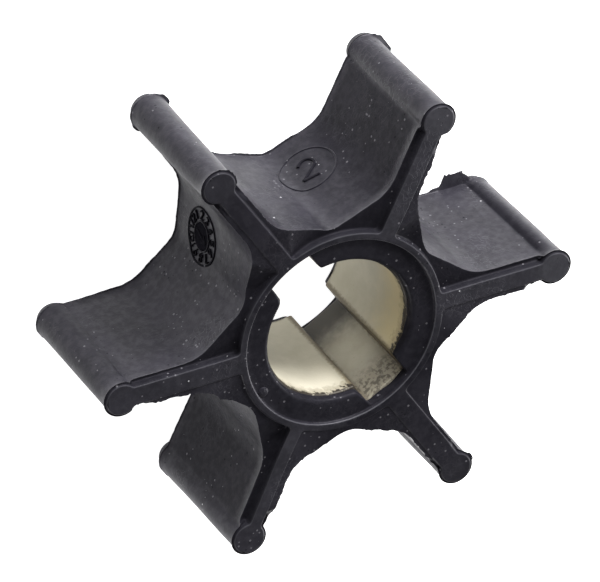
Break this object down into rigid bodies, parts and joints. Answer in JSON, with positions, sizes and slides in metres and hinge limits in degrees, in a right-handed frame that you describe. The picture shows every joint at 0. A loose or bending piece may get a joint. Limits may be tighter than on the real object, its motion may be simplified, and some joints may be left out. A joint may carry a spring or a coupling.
{
  "type": "rubber pump impeller",
  "caption": "Flexible rubber impeller with round-tipped vanes and a slotted metal drive bush, for a marine raw-water pump.",
  "frame": {"origin": "on the shaft axis in the plane of the back end faces", "axes": "+Z along the shaft axis towards the front end, +X along one vane and the two key slots"},
  "size_m": [0.054, 0.0474, 0.0182],
  "materials": {
    "rubber": "satin",
    "bush_metal": "satin"
  },
  "bodies": {
    "root": {"rubber_impeller": "rubber", "drive_bush": "bush_metal"}
  },
  "joints": []
}
